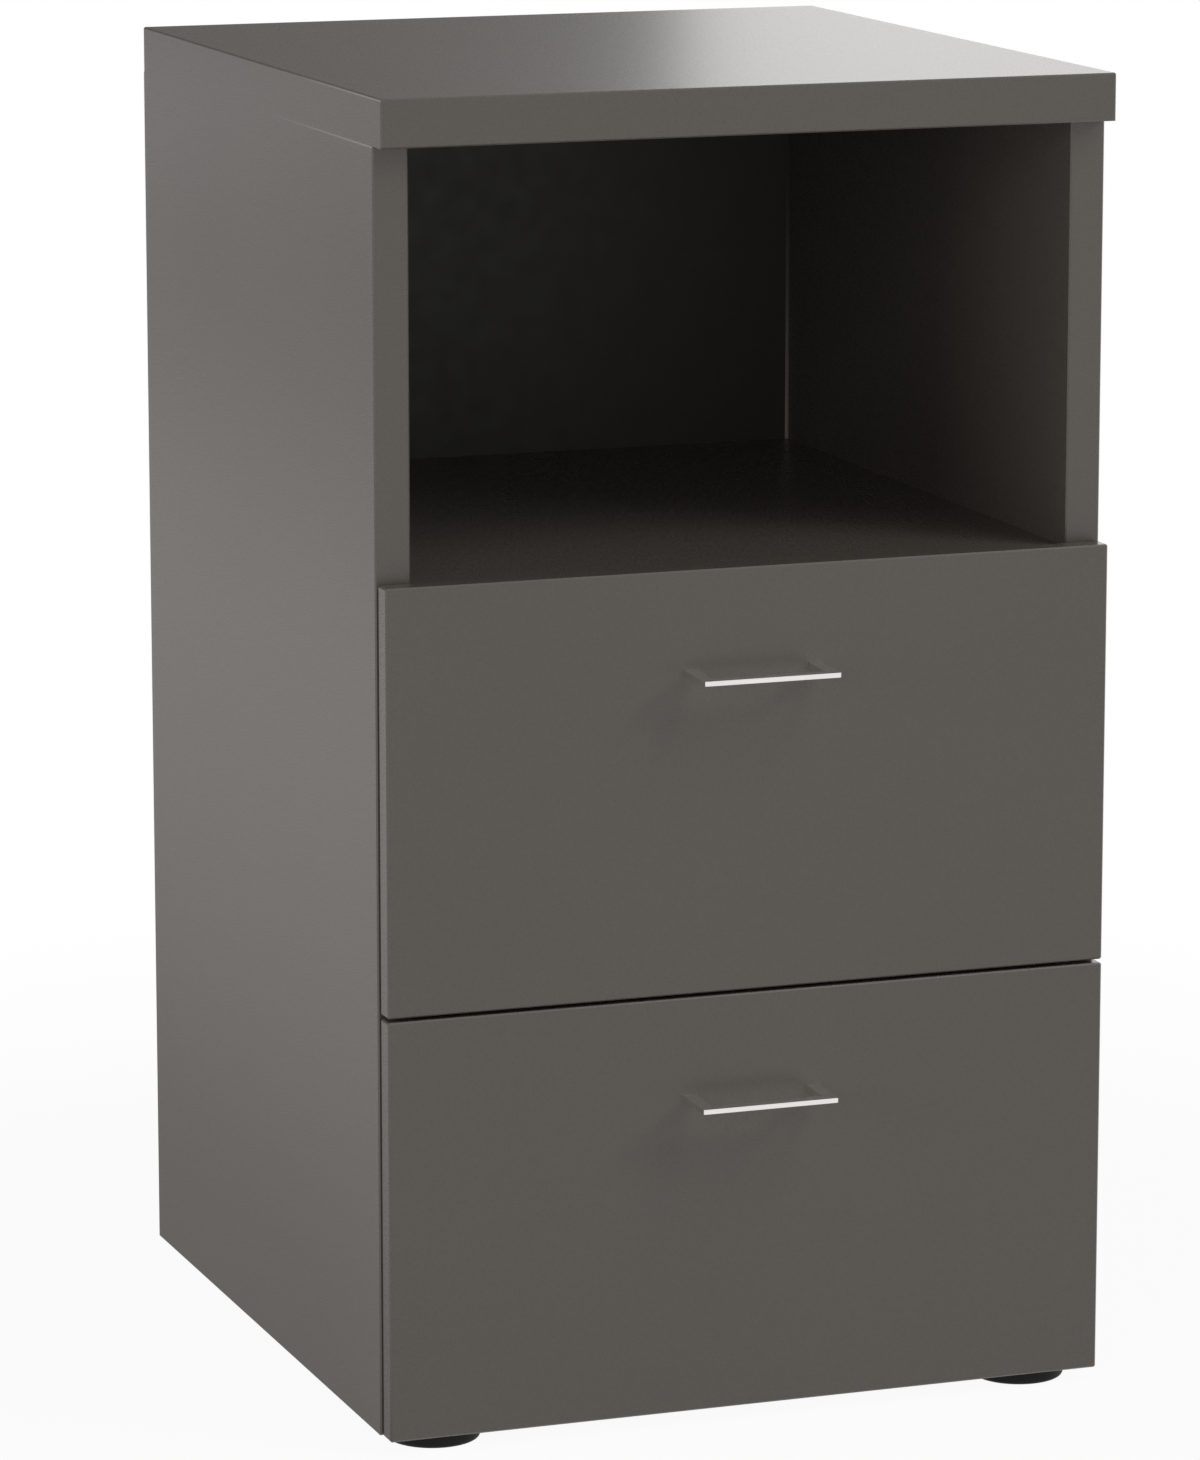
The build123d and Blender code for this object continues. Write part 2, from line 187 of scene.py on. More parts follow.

# The painted highlight: a pale hairline along a board's top outer edge that stands in for its
# sheen: how far it reaches in from the outer face, where it starts and ends to fade behind the
# front edge, and how strong it is.
EDGE_HIGHLIGHT_REACH = 0.3 * MM
EDGE_HIGHLIGHT_FADE = (20 * MM, 200 * MM)
EDGE_HIGHLIGHT_STRENGTH = 0.55
SIDE_HIGHLIGHT_HEIGHT = 0.8 * MM
TOP_HIGHLIGHT_HEIGHT = 1.3 * MM

# The back panel's groove edge, raw chipboard brightened into a painted light leak: its span in
# depth from the back panel's front, its span in width from the side panel's inner face, its fade
# above the shelf, and its strength.
GROOVE_LEAK_DEPTH = (-1.2 * MM, 0.1 * MM)
GROOVE_LEAK_WIDTH = (-1.6 * MM, MM)
GROOVE_LEAK_FADE = (-30 * MM, 170 * MM)
GROOVE_LEAK_STRENGTH = 0.85


def painted_edge_highlight(finish, node, height):
    """A painted highlight: a pale hairline along the top outer edge of a board, strongest near the
    front.
    """
    across, deep, high = finish.axes()
    low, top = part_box(node)
    width = finish.math("ABSOLUTE", across)
    strip = finish.math("MULTIPLY", finish.math("GREATER_THAN", high, top.z - height),
                        finish.math("GREATER_THAN", width, abs(low.x) - EDGE_HIGHLIGHT_REACH))
    start, end = (low.y + distance for distance in EDGE_HIGHLIGHT_FADE)
    length = finish.math("MULTIPLY", finish.span(deep, 1.0, 0.0, start, end, smooth=True),
                         EDGE_HIGHLIGHT_STRENGTH)
    return finish.math("MULTIPLY", strip, length)


def painted_groove_leak(finish):
    """Painted light leak: the pale edge of the groove that holds the back panel, above the
    compartment's floor, part raw chipboard and part light leaking through the joint.
    """
    across, deep, high = finish.axes()
    inner_face = abs(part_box("left_side_panel")[1].x)
    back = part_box("back_panel")[0].y
    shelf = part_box("shelf_panel")[1].z
    depths = [back + distance for distance in GROOVE_LEAK_DEPTH]
    widths = [inner_face + distance for distance in GROOVE_LEAK_WIDTH]
    start, end = (shelf + distance for distance in GROOVE_LEAK_FADE)
    strip = finish.math("MULTIPLY", finish.band(deep, *depths),
                        finish.band(finish.math("ABSOLUTE", across), *widths))
    height = finish.math("MULTIPLY", finish.math("GREATER_THAN", high, shelf),
                         finish.span(high, 1.0, 0.0, start, end, smooth=True))
    return finish.math("MULTIPLY", finish.math("MULTIPLY", strip, height), GROOVE_LEAK_STRENGTH)


def melamine(name, lined_board=None, line_height=0.0):
    """Satin melamine facing: a fine pearl relief under an even taupe grey; on a lined board, also a
    pale painted highlight line along the top outer edge and a pale painted light leak at the back
    panel's groove.
    """
    finish = Finish(name, IOR=1.5)
    cloud = finish.noise(scale=7, detail=2)
    speckle = finish.noise(scale=1400, detail=2)
    blend = finish.math("ADD", finish.math("MULTIPLY", cloud, CLOUD_SHARE),
                        finish.math("MULTIPLY", speckle, 1 - CLOUD_SHARE))
    tone = finish.shades(blend, TAUPE, dark=(0.3, 0.97), light=(0.7, 1.03))
    if lined_board:
        # Painted light: the pale edge highlight line and the pale light leak at the groove.
        lines = finish.math("MAXIMUM", painted_edge_highlight(finish, lined_board, line_height),
                            painted_groove_leak(finish))
        tone = finish.mix(lines, tone, PALE_PAINTED_LIGHT)
    finish.colour(tone)
    finish.roughness(speckle, low=0.265, high=0.285)
    finish.bump(finish.noise(scale=1500, detail=2), depth=0.003 * MM, strength=0.2)
    return finish.material


def hardboard(name, colour, relief, with_groove_leak=False):
    """Lacquered hardboard: fibres under a thin paint film, and on request a pale painted light leak
    at the groove edge.
    """
    finish = Finish(name, IOR=1.48)
    fibres = finish.noise(scale=260, detail=5, stretch=(1, 1, 0.45), roughness=0.65)
    tone = finish.shades(fibres, colour, dark=(0.25, 0.93), light=(0.75, 1.06))
    # Painted light: the pale light leak at the back panel's groove, when asked for.
    finish.colour(finish.mix(painted_groove_leak(finish), tone, PALE_PAINTED_LIGHT) if with_groove_leak else tone)
    finish.roughness(finish.noise(scale=90), low=0.42, high=0.58)
    finish.bump(fibres, depth=relief, strength=0.5)
    return finish.material


def box_foil(name, colour):
    """Paper foil of the drawer boxes, with a faint linen print."""
    finish = Finish(name, IOR=1.5)
    warp = finish.noise(scale=900, detail=2, stretch=(1, 1, 0.08))
    weft = finish.noise(scale=900, detail=2, stretch=(0.08, 0.08, 1))
    linen = finish.math("MULTIPLY", finish.math("ADD", warp, weft), 0.5)
    finish.colour(finish.shades(linen, colour, dark=(0.3, 0.94), light=(0.7, 1.04)))
    finish.roughness(finish.noise(scale=50), low=0.40, high=0.52)
    finish.bump(linen, depth=0.03 * MM, strength=0.4)
    return finish.material


def brushed(name, colour, rough, grain):
    """Metal with fine lines, drawn out along any axis whose grain is below 1."""
    finish = Finish(name, Metallic=1.0, IOR=1.5)
    lines = finish.noise(scale=2600, detail=3, stretch=grain)
    finish.colour(finish.shades(lines, colour, dark=(0.2, 0.92), light=(0.8, 1.05)))
    finish.roughness(lines, low=rough - 0.05, high=rough + 0.07)
    finish.bump(lines, depth=0.012 * MM, strength=0.3)
    return finish.material


def enamel(name, colour):
    """White stove enamel on bent steel, with a slight orange peel."""
    finish = Finish(name, IOR=1.52, Coat_Weight=0.25, Coat_Roughness=0.18)
    peel = finish.noise(scale=420, detail=2)
    grime = finish.noise(scale=35, detail=4)
    finish.colour(finish.shades(grime, colour, dark=(0.3, 0.93), light=(0.7, 1.02)))
    finish.roughness(grime, low=0.30, high=0.42)
    finish.bump(peel, depth=0.03 * MM, strength=0.35)
    return finish.material


def beech(name, colour):
    """Bare beech with short flecks along the grain."""
    finish = Finish(name, IOR=1.45)
    flecks = finish.noise(scale=700, detail=4, stretch=(0.12, 1, 1), roughness=0.6)
    finish.colour(finish.shades(flecks, colour, dark=(0.3, 0.78), light=(0.62, 1.0)))
    finish.roughness(flecks, low=0.55, high=0.7)
    finish.bump(flecks, depth=0.04 * MM, strength=0.5)
    return finish.material


def plastic(name, colour, rough, relief, **sockets):
    """Moulded plastic with a fine eroded texture."""
    finish = Finish(name, IOR=1.49, **sockets)
    texture = finish.noise(scale=1300)
    tint = finish.noise(scale=80)
    finish.colour(finish.shades(tint, colour, dark=(0.3, 0.94), light=(0.7, 1.05)))
    finish.roughness(texture, low=rough - 0.05, high=rough + 0.06)
    finish.bump(texture, depth=relief, strength=0.4)
    return finish.material


FINISHES = {
    "taupe_board": melamine("taupe_melamine"),
    "back_hardboard": hardboard("painted_leak_dark_hardboard", linear(54, 51, 48), relief=0.05 * MM,
                                with_groove_leak=True),
    "drawer_box_board": box_foil("drawer_box_foil", linear(190, 187, 181)),
    "drawer_bottom_board": hardboard("pale_hardboard", linear(203, 200, 193), relief=0.03 * MM),
    "satin_nickel": brushed("satin_nickel", linear(233, 231, 228), rough=0.31, grain=(0.02, 1, 1)),
    "zinc_plated_steel": brushed("bright_zinc", linear(190, 192, 197), rough=0.26, grain=(1, 1, 1)),
    "beech": beech("bare_beech", linear(201, 164, 120)),
    "black_plastic": plastic("black_plastic", linear(18, 17, 17), rough=0.55, relief=0.02 * MM,
                             Specular_IOR_Level=0.2),
    "white_enamel_steel": enamel("white_enamel", linear(226, 225, 220)),
    "white_nylon": plastic("white_nylon", linear(224, 222, 214), rough=0.38, relief=0.02 * MM,
                           Subsurface_Weight=0.1),
    "clear_bumper": plastic("clear_bumper", linear(214, 216, 214), rough=0.2, relief=0.01 * MM,
                            Transmission_Weight=0.6),
}
SLOT_OF = {part["node"]: part["material_slot"] for part in frame["record"]["subparts"]}


def dress_nodes():
    """Gives every CAD node the finish of its slot, and the lined boards their painted highlight
    lines and painted light leak.
    """
    side = melamine("painted_light_side_melamine", "left_side_panel", SIDE_HIGHLIGHT_HEIGHT)
    top = melamine("painted_light_top_melamine", "top_panel", TOP_HIGHLIGHT_HEIGHT)
    lined = {"left_side_panel": side, "right_side_panel": side, "top_panel": top}
    for name, piece in nodes.items():
        finish = lined.get(name, FINISHES[SLOT_OF[name]])
        if not piece.material_slots:
            piece.data.materials.append(finish)
        for slot in piece.material_slots:
            slot.material = finish


# ---------------------------------------------------------------- mesh helpers
MERGE_DISTANCE = 1e-7
NODE_MERGE_DISTANCE = 1e-6
SHARP_ANGLE = radians(35)
FINE_SEGMENTS = 48


def add_piece(name, mesh, node, body):
    """Makes a piece from a bmesh that rides on a body and stands for a CAD node."""
    bmesh.ops.remove_doubles(mesh, verts=mesh.verts, dist=MERGE_DISTANCE)
    bmesh.ops.recalc_face_normals(mesh, faces=mesh.faces)
    data = bpy.data.meshes.new(name)
    mesh.to_mesh(data)
    mesh.free()
    for polygon in data.polygons:
        polygon.use_smooth = True
    data.set_sharp_from_angle(angle=SHARP_ANGLE)
    piece = bpy.data.objects.new(name, data)
    bpy.context.scene.collection.objects.link(piece)
    data.materials.append(FINISHES[SLOT_OF[node]])
    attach(piece, body)
    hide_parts(node)


def solid_boxes(node):
    """The lowest and highest corner of each separate solid in a node."""
    mesh = bmesh.new()
    mesh.from_mesh(nodes[node].data)
    bmesh.ops.remove_doubles(mesh, verts=mesh.verts, dist=NODE_MERGE_DISTANCE)
    unseen = set(mesh.verts)
    boxes = []
    while unseen:
        reached = [unseen.pop()]
        for vertex in reached:
            fresh = {edge.other_vert(vertex) for edge in vertex.link_edges} & unseen
            unseen -= fresh
            reached += fresh
        points = [vertex.co for vertex in reached]
        boxes.append(tuple(Vector(pick(point[axis] for point in points) for axis in (X, Y, Z))
                           for pick in (min, max)))
    mesh.free()
    return sorted(boxes, key=lambda box: tuple(box[0]))


def extent(box, axis):
    """The length of a box along an axis, in millimetres."""
    return (box[1][axis] - box[0][axis]) / MM


def facing(box, axis, sign):
    """A matrix at the middle of a box's face, whose z axis points out of that face."""
    low, high = box
    origin = (low + high) / 2
    origin[axis] = high[axis] if sign > 0 else low[axis]
    direction = Vector((0, 0, 0))
    direction[axis] = sign
    return Matrix.Translation(origin) @ direction.to_track_quat("Z", "Y").to_matrix().to_4x4()


def turned_over(matrix):
    """The matrix with its z axis pointing into the face instead of out of it."""
    return matrix @ Matrix.Rotation(pi, 4, "X")


def inward(box):
    """The sign of the x direction from a box towards the middle plane."""
    return -1 if box[0].x > 0 else 1


def ring_of(mesh, radius, height, matrix, segments):
    """A ring of points round the matrix's z axis, or one point on the axis."""
    if radius == 0:
        return [mesh.verts.new(matrix @ Vector((0, 0, height)))]
    angles = [2 * pi * step / segments for step in range(segments)]
    return [mesh.verts.new(matrix @ Vector((radius * cos(angle), radius * sin(angle), height)))
            for angle in angles]


def bridge(mesh, low, high):
    """Faces between two closed rings of points, of which one may be a single point."""
    count = max(len(low), len(high))
    for step in range(count):
        after = (step + 1) % count
        corners = [low[step % len(low)], low[after % len(low)],
                   high[after % len(high)], high[step % len(high)]]
        unique = list(dict.fromkeys(corners))
        if len(unique) > 2:
            mesh.faces.new(unique)


def turn(mesh, profile, matrix, segments=FINE_SEGMENTS, closed=False):
    """Adds a turned form and gives its last ring.

    The profile's (radius, height) points are in millimetres, spun round the matrix's z axis.
    """
    rings = [ring_of(mesh, radius * MM, height * MM, matrix, segments)
             for radius, height in profile]
    for low, high in zip(rings, rings[1:]):
        bridge(mesh, low, high)
    if closed:
        bridge(mesh, rings[-1], rings[0])
    return rings[-1]


def arc(centre, radius, start, end, steps=6):
    """Points on an arc, with its angles in degrees."""
    angles = [radians(start + (end - start) * step / steps) for step in range(steps + 1)]
    return [(centre[0] + radius * cos(angle), centre[1] + radius * sin(angle))
            for angle in angles]


# ---------------------------------------------------------------- bow handles, in mm
BAR_HEIGHT = 2.5
BAR_DEPTH = 7.0
LEG_WIDTH = 6.5
SOLE_WIDTH = 7.5
BAR_CORNER = 1.0
INNER_CORNER = 0.6
HANDLE_EASE = 0.95
EASE_SEGMENTS = 3
EASED_ANGLE = radians(50)
SOLE_MARGIN = 0.1
LEG_STEPS = 8
CORNER_STEPS = 8
BAR_STEPS = 6


def bow_outline(length, reach):
    """Pairs of outer and inner points along half of a bow, from its sole to its bar's middle."""
    inner_reach = reach - BAR_DEPTH
    half = length / 2
    middle = half - SOLE_WIDTH / 2
    outer_bar = middle + LEG_WIDTH / 2
    inner_bar = middle - LEG_WIDTH / 2
    inner_sole = middle - SOLE_WIDTH / 2
    leg_reach = inner_reach - INNER_CORNER
    pairs = []
    for step in range(LEG_STEPS + 1):
        share = step / LEG_STEPS
        depth = share * leg_reach
        taper = share * leg_reach / inner_reach
        outer = half + (outer_bar - half) * taper
        inner = inner_sole + (inner_bar - inner_sole) * taper
        pairs.append(((outer, depth), (inner, depth)))
    outer_centre = (outer_bar - BAR_CORNER, reach - BAR_CORNER)
    inner_centre = (inner_bar - INNER_CORNER, inner_reach - INNER_CORNER)
    outer_arc = arc(outer_centre, BAR_CORNER, 0, 90, CORNER_STEPS)
    inner_arc = arc(inner_centre, INNER_CORNER, 0, 90, CORNER_STEPS)
    pairs += zip(outer_arc, inner_arc)
    for step in range(1, BAR_STEPS + 1):
        share = 1 - step / BAR_STEPS
        pairs.append(((outer_arc[-1][0] * share, reach), (inner_arc[-1][0] * share, inner_reach)))
    return pairs


def bow_handle(level):
    """A flat satin bow whose legs thicken towards the drawer front, with eased edges."""
    node = f"{level}_drawer_handle"
    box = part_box(node)
    low, high = box
    reach = extent(box, Y)
    sole_height = extent(box, Z)
    inner_reach = reach - BAR_DEPTH
    place = Matrix.Translation(((low.x + high.x) / 2, high.y, (low.z + high.z) / 2))
    half = bow_outline(extent(box, X), reach)
    other_half = [((-outer[0], outer[1]), (-inner[0], inner[1])) for outer, inner in half[:-1]]

    def corner(mesh, point, side):
        share = max(0.0, 1 - point[1] / inner_reach)
        height = (BAR_HEIGHT + (sole_height - BAR_HEIGHT) * share) / 2
        return mesh.verts.new(place @ (Vector((point[0], -point[1], side * height)) * MM))

    mesh = bmesh.new()
    rows = [[corner(mesh, outer, 1), corner(mesh, inner, 1),
             corner(mesh, inner, -1), corner(mesh, outer, -1)]
            for outer, inner in other_half + half[::-1]]
    for first, second in zip(rows, rows[1:]):
        bridge(mesh, first, second)
    mesh.faces.new(rows[0])
    mesh.faces.new(rows[-1])
    sole_edge = high.y - SOLE_MARGIN * MM
    long_edges = [edge for edge in mesh.edges if len(edge.link_faces) == 2
                  and edge.calc_face_angle() > EASED_ANGLE
                  and min(vertex.co.y for vertex in edge.verts) < sole_edge]
    bmesh.ops.bevel(mesh, geom=long_edges, offset=HANDLE_EASE * MM, segments=EASE_SEGMENTS,
                    profile=0.5, affect="EDGES", clamp_overlap=True)
    add_piece(f"{level}_bow_handle", mesh, node, f"{level}_drawer")


# ---------------------------------------------------------------- rollers and pins, in mm
# Profiles are (radius, height) points, and heights are measured from the face.
ROLLER_SEGMENTS = 64
ROLLER_BORE = 2.55
BORE_CHAMFER = 0.25
ROLLER_RECESS = [(4.1, 0), (4.3, 0.2), (4.4, 0.9), (5.7, 0.9), (5.8, 0.2), (6.0, 0)]
TREAD_ROUNDING = 0.6

PIN_RADIUS = 2.5
PIN_CHAMFER = 0.3
PIN_HEAD_HEIGHT = 0.8
PIN_HEAD_RIM = 0.25
RIVETED_DOME = [(3.75, -0.28), (3.3, -0.12), (2.4, -0.02), (1.6, 0), (1.2, -0.06), (0.7, -0.3),
                (0, -0.34)]


def roller(node):
    """A moulded roller with a rounded tread and a ring-shaped recess in each face."""
    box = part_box(node)
    width = extent(box, X)
    radius = extent(box, Z) / 2
    face = [(ROLLER_BORE, BORE_CHAMFER), (ROLLER_BORE + BORE_CHAMFER, 0)] + ROLLER_RECESS
    face += arc((radius - TREAD_ROUNDING, TREAD_ROUNDING), TREAD_ROUNDING, -90, 0)
    profile = face + [(distance, width - height) for distance, height in reversed(face)]
    mesh = bmesh.new()
    turn(mesh, profile, turned_over(facing(box, X, -1)), ROLLER_SEGMENTS, closed=True)
    add_piece(f"{node}_moulding", mesh, node, node)


def riveted_pins(node, body, head_towards_middle):
    """Pins with a domed head that has a dimple from riveting."""
    mesh = bmesh.new()
    for box in solid_boxes(node):
        sign = inward(box) if head_towards_middle else -inward(box)
        head_radius = extent(box, Z) / 2
        length = extent(box, X)
        shank = [(0, -length), (PIN_RADIUS - PIN_CHAMFER, -length),
                 (PIN_RADIUS, PIN_CHAMFER - length), (PIN_RADIUS, -PIN_HEAD_HEIGHT)]
        rim = [(head_radius, -PIN_HEAD_HEIGHT), (head_radius, PIN_HEAD_RIM - PIN_HEAD_HEIGHT)]
        turn(mesh, shank + rim + RIVETED_DOME, facing(box, X, sign))
    add_piece(f"{node}_riveted", mesh, node, body)


# ---------------------------------------------------------------- screws, in mm
SCREW_SEGMENTS = 24
SHANK_RADIUS = 1.5
TIP_RADIUS = 0.4
TIP_LENGTH = 2.0
COUNTERSINK_DEPTH = 1.3
COUNTERSINK = [(2.55, -0.1), (2.5, 0)]
PAN_HEIGHT = 1.6
# The pan head's rounding: how far each point lies in from the rim, and its height.
PAN_ROUNDING = [(0, -1.6), (0, -1.05), (0.12, -0.6), (0.45, -0.25), (0.85, -0.06), (1.2, 0)]
CROSS_DEPTH = 0.9
CROSS_TAPER = 0.75


def screw_shank(length, head_height):
    """The profile of a screw from its tip to its head."""
    return [(0, -length), (TIP_RADIUS, -length), (SHANK_RADIUS, TIP_LENGTH - length),
            (SHANK_RADIUS, -head_height)]


def cross_recess(mesh, rim, matrix, reach, half_width):
    """Closes a screw's flat top, inside its rim, round a cross-shaped recess."""
    quarter = [(reach, -half_width), (reach, half_width), (half_width, half_width)]
    outline = []
    for turns in range(4):
        for x, y in quarter:
            for _ in range(turns):
                x, y = -y, x
            outline.append((x * MM, y * MM))
    top = [mesh.verts.new(matrix @ Vector((x, y, 0))) for x, y in outline]
    floor = [mesh.verts.new(matrix @ Vector((x * CROSS_TAPER, y * CROSS_TAPER, -CROSS_DEPTH * MM)))
             for x, y in outline]
    sides = [(loop[step - 1], loop[step]) for loop in (rim, top) for step in range(len(loop))]
    edges = [mesh.edges.get(side) or mesh.edges.new(side) for side in sides]
    bmesh.ops.triangle_fill(mesh, use_beauty=True, edges=edges)
    bridge(mesh, top, floor)
    mesh.faces.new(floor)


def runner_screws():
    """Countersunk screws whose flat heads lie flush in the cabinet rails."""
    node = "cabinet_rail_screws"
    mesh = bmesh.new()
    for box in solid_boxes(node):
        matrix = facing(box, X, inward(box))
        profile = screw_shank(extent(box, X), COUNTERSINK_DEPTH) + COUNTERSINK
        rim = turn(mesh, profile, matrix, SCREW_SEGMENTS)
        cross_recess(mesh, rim, matrix, reach=1.6, half_width=0.42)
    add_piece("cabinet_rail_screw_set", mesh, node, "cabinet")


def box_screw_set(level):
    """Pan-head screws that hold the drawer rails, with a cross recess."""
    node = f"{level}_drawer_rail_screws"
    mesh = bmesh.new()
    for box in solid_boxes(node):
        head_radius = extent(box, Y) / 2
        matrix = facing(box, Z, -1)
        head = [(head_radius - inset, height) for inset, height in PAN_ROUNDING]
        profile = screw_shank(extent(box, Z), PAN_HEIGHT) + head
        rim = turn(mesh, profile, matrix, SCREW_SEGMENTS)
        cross_recess(mesh, rim, matrix, reach=1.35, half_width=0.36)
    add_piece(f"{level}_drawer_rail_screw_set", mesh, node, f"{level}_drawer")


# ---------------------------------------------------------------- bumpers and feet, in mm
BUMPER_DOME_HEIGHT = 0.85
BUMPER_CHAMFER = (0.1, 0.15)
DOME_ANGLES = [radians(10 * step) for step in range(9)]

FOOT_SEGMENTS = 72
FOOT_HOLLOW = [(0, 0.5), (15.5, 0.5), (16.0, 0)]
FOOT_ROUNDING = 2.2
FOOT_CHAMFER = 0.4
SPIGOT_RADIUS = 3.3
SPIGOT_HEIGHT = 13.0


def bumper_domes(level):
    """Clear self-adhesive domes on the back of a drawer front."""
    node = f"{level}_drawer_bumpers"
    inset, rise = BUMPER_CHAMFER
    mesh = bmesh.new()
    for box in solid_boxes(node):
        radius = extent(box, Z) / 2
        height = extent(box, Y)
        side = [(0, -height), (radius - inset, -height), (radius, rise - height)]
        dome = [(radius * cos(angle), BUMPER_DOME_HEIGHT * (sin(angle) - 1))
                for angle in DOME_ANGLES]
        turn(mesh, side + dome + [(0, 0)], facing(box, Y, 1))
    add_piece(f"{level}_drawer_bumper_domes", mesh, node, f"{level}_drawer")


def glide_feet():
    """Round glides with a rounded rim, a shallow hollow under them and a spigot on top."""
    mesh = bmesh.new()
    for box in solid_boxes("feet"):
        radius = extent(box, X) / 2
        height = extent(box, Z) - SPIGOT_HEIGHT
        rounding_centre = (radius - FOOT_ROUNDING, FOOT_ROUNDING)
        profile = FOOT_HOLLOW + [(radius - FOOT_ROUNDING, 0)]
        profile += arc(rounding_centre, FOOT_ROUNDING, -75, 0)
        profile += [(radius, height - FOOT_CHAMFER), (radius - FOOT_CHAMFER, height)]
        profile += [(SPIGOT_RADIUS, height), (SPIGOT_RADIUS, height + SPIGOT_HEIGHT),
                    (0, height + SPIGOT_HEIGHT)]
        turn(mesh, profile, turned_over(facing(box, Z, -1)), FOOT_SEGMENTS)
    add_piece("glide_feet", mesh, "feet", "cabinet")


dress_nodes()
runner_screws()
riveted_pins("front_roller_pins", "cabinet", True)
glide_feet()
for level in LEVELS:
    bow_handle(level)
    box_screw_set(level)
    bumper_domes(level)
    riveted_pins(f"{level}_drawer_roller_pins", f"{level}_drawer", False)
    for hand in HANDS:
        for end in ENDS:
            roller(f"{level}_{hand}_{end}_roller")


# ---------------------------------------------------------------- camera, world and floor
CAMERA_PLACE = (-1.2141, -3.3081, 1.0340)
CAMERA_PITCH = 11.2441
CAMERA_YAW = 19.9652
CAMERA_LENS = 162.55
SENSOR_SIZE = 36.0
VIEW_END = 100

WHITE = (1, 1, 1, 1)
AMBIENT = 0.18

FLOOR_RADIUS = 30.0
FLOOR_SEGMENTS = 64
FLOOR_DROP = 0.1 * MM
FLOOR_COLOUR = (0.9, 0.9, 0.9, 1)
FLOOR_ROUGHNESS = 0.9
FLOOR_FADE = (0.4, 1.2)
FLOOR_WHITENESS = 0.94


def make_camera():
    """The camera at the photograph's angle."""
    data = bpy.data.cameras.new("camera")
    data.lens = CAMERA_LENS
    data.sensor_width = SENSOR_SIZE
    data.clip_end = VIEW_END
    camera = bpy.data.objects.new("camera", data)
    camera.location = CAMERA_PLACE
    camera.rotation_euler = (radians(90 - CAMERA_PITCH), 0, radians(-CAMERA_YAW))
    bpy.context.scene.collection.objects.link(camera)
    bpy.context.scene.camera = camera


def seen_ray(tree):
    """1 for camera, glossy and transmission rays, and 0 for the rest."""
    path = tree.nodes.new("ShaderNodeLightPath")
    total = path.outputs["Is Camera Ray"]
    for name in ("Is Glossy Ray", "Is Transmission Ray"):
        both = tree.nodes.new("ShaderNodeMath")
        both.operation = "MAXIMUM"
        tree.links.new(total, both.inputs[0])
        tree.links.new(path.outputs[name], both.inputs[1])
        total = both.outputs[0]
    return total


def make_world():
    """A white surround for what the camera and the reflections see, and an even dimmer light."""
    world = bpy.data.worlds.new("studio")
    bpy.context.scene.world = world
    world.use_nodes = True
    tree = world.node_tree
    light = tree.nodes["Background"]
    light.inputs["Color"].default_value = WHITE
    light.inputs["Strength"].default_value = AMBIENT
    seen = tree.nodes.new("ShaderNodeBackground")
    seen.inputs["Color"].default_value = WHITE
    mix = tree.nodes.new("ShaderNodeMixShader")
    tree.links.new(seen_ray(tree), mix.inputs[0])
    tree.links.new(light.outputs[0], mix.inputs[1])
    tree.links.new(seen.outputs[0], mix.inputs[2])
    tree.links.new(mix.outputs[0], tree.nodes["World Output"].inputs["Surface"])


def make_stage(name, mesh, finish):
    """An object from a bmesh that belongs to the stage, not to the part."""
    data = bpy.data.meshes.new(name)
    mesh.to_mesh(data)
    mesh.free()
    data.materials.append(finish.material)
    stage = bpy.data.objects.new(name, data)
    bpy.context.scene.collection.objects.link(stage)
    return stage


def make_floor():
    """A white floor that keeps the object's shadow and turns plain white further out."""
    mesh = bmesh.new()
    bmesh.ops.create_circle(mesh, cap_ends=True, radius=FLOOR_RADIUS, segments=FLOOR_SEGMENTS)
    finish = Finish("floor_white", Specular_IOR_Level=0.0)
    finish.shader.inputs["Base Color"].default_value = FLOOR_COLOUR
    finish.shader.inputs["Roughness"].default_value = FLOOR_ROUGHNESS
    distance = finish.node("ShaderNodeVectorMath", operation="LENGTH")
    finish.link(finish.place, distance.inputs[0])
    whiteness = finish.span(distance.outputs["Value"], FLOOR_WHITENESS, 1.0, *FLOOR_FADE,
                            smooth=True)
    plain = finish.node("ShaderNodeEmission")
    mix = finish.node("ShaderNodeMixShader")
    finish.link(finish.math("MULTIPLY", whiteness, seen_ray(finish.tree)), mix.inputs[0])
    finish.link(finish.shader.outputs[0], mix.inputs[1])
    finish.link(plain.outputs[0], mix.inputs[2])
    finish.link(mix.outputs[0], finish.tree.nodes["Material Output"].inputs["Surface"])
    make_stage("floor", mesh, finish).location.z = -FLOOR_DROP


# ---------------------------------------------------------------- lamps and cards
CARD_TINT = (1, 0.985, 0.965)
# The greys that the top and the left side reflect, as (x, tone) stops.
BACK_TONES = [(-6, 0.185), (1.6, 0.19), (2.3, 0.23)]
LEFT_TONES = [(-0.2, 0.4), (-0.3, 0.42), (-0.38, 0.5), (-0.5, 0.64), (-0.73, 0.71),
              (-1.03, 0.99), (-1.2, 0.56), (-1.4, 0.22), (-2.2, 0.34), (-3.0, 0.4)]


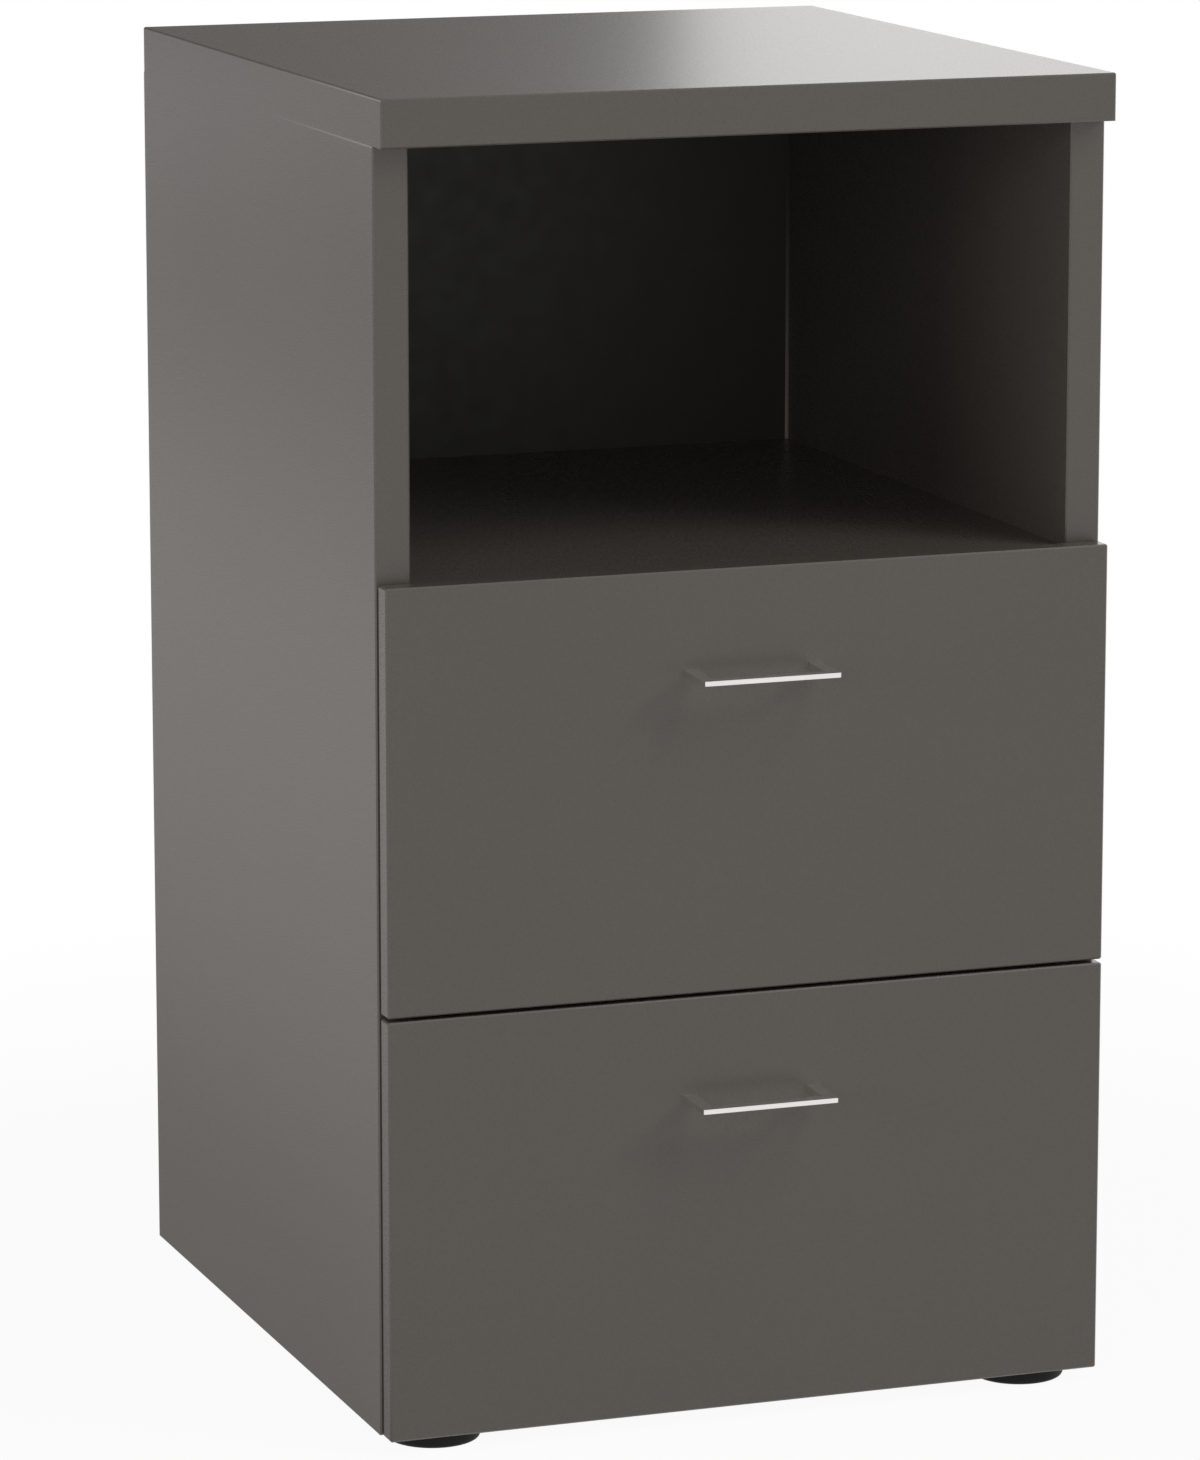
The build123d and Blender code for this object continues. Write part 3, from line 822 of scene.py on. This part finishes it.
def area_light(name, place, target, size, power, in_reflections=True):
    """A soft rectangular lamp at place that faces target."""
    data = bpy.data.lights.new(name, "AREA")
    data.shape = "RECTANGLE"
    data.size, data.size_y = size
    data.energy = power
    lamp = bpy.data.objects.new(name, data)
    lamp.location = place
    lamp.rotation_euler = (Vector(target) - Vector(place)).to_track_quat("-Z", "Y").to_euler()
    lamp.visible_glossy = in_reflections
    bpy.context.scene.collection.objects.link(lamp)


def reflected_card(name, ends, first, second, tones):
    """A grey card that only reflections see.

    Its ends are in x, first and second are the (y, z) of the two edges between them, and
    tones are (x, grey) stops.
    """
    left, right = ends
    mesh = bmesh.new()
    mesh.faces.new([mesh.verts.new(corner) for corner in (
        (left, *first), (right, *first), (right, *second), (left, *second))])
    finish = Finish(name + "_paint", Specular_IOR_Level=0.0)
    finish.shader.inputs["Base Color"].default_value = (0, 0, 0, 1)
    start = tones[0][0]
    length = tones[-1][0] - start
    share = finish.math("DIVIDE", finish.math("SUBTRACT", finish.axes()[X], start), length)
    stops = [((place - start) / length, tuple(tone * part for part in CARD_TINT) + (1,))
             for place, tone in tones]
    finish.link(finish.ramp(share, stops), finish.shader.inputs["Emission Color"])
    finish.shader.inputs["Emission Strength"].default_value = 1.0
    card = make_stage(name, mesh, finish)
    card.visible_camera = False
    card.visible_diffuse = False
    card.visible_shadow = False
    card.visible_transmission = False


make_camera()
make_world()
make_floor()
area_light("key", place=(2.0, -2.7, 4.6), target=(0, 0, 0.35), size=(2.0, 2.0), power=48.5)
area_light("right_fill", place=(2.2, -2.0, 2.1), target=(0, -0.2, 0.4), size=(1.2, 0.5),
           power=18.6, in_reflections=False)
area_light("left_fill", place=(-2.8, -0.5, 0.75), target=(0, 0, 0.35), size=(1.8, 1.1),
           power=19.3, in_reflections=False)
area_light("front_fill", place=(-1.9, -2.6, 1.3), target=(0, 0, 0.4), size=(1.2, 1.2),
           power=8.7, in_reflections=False)
area_light("back_softbox", place=(3.69, 5.96, 1.6), target=(0, 0, 0.9), size=(2.72, 1.9),
           power=13.3)
reflected_card("back_flag", ends=(-6, 2.3), first=(6, 0.2), second=(6, 5), tones=BACK_TONES)
reflected_card("left_flag", ends=(-3, -0.2005), first=(-0.22, 0.001), second=(5.9, 0.001),
               tones=LEFT_TONES)

bpy.context.scene.view_settings.view_transform = "Standard"
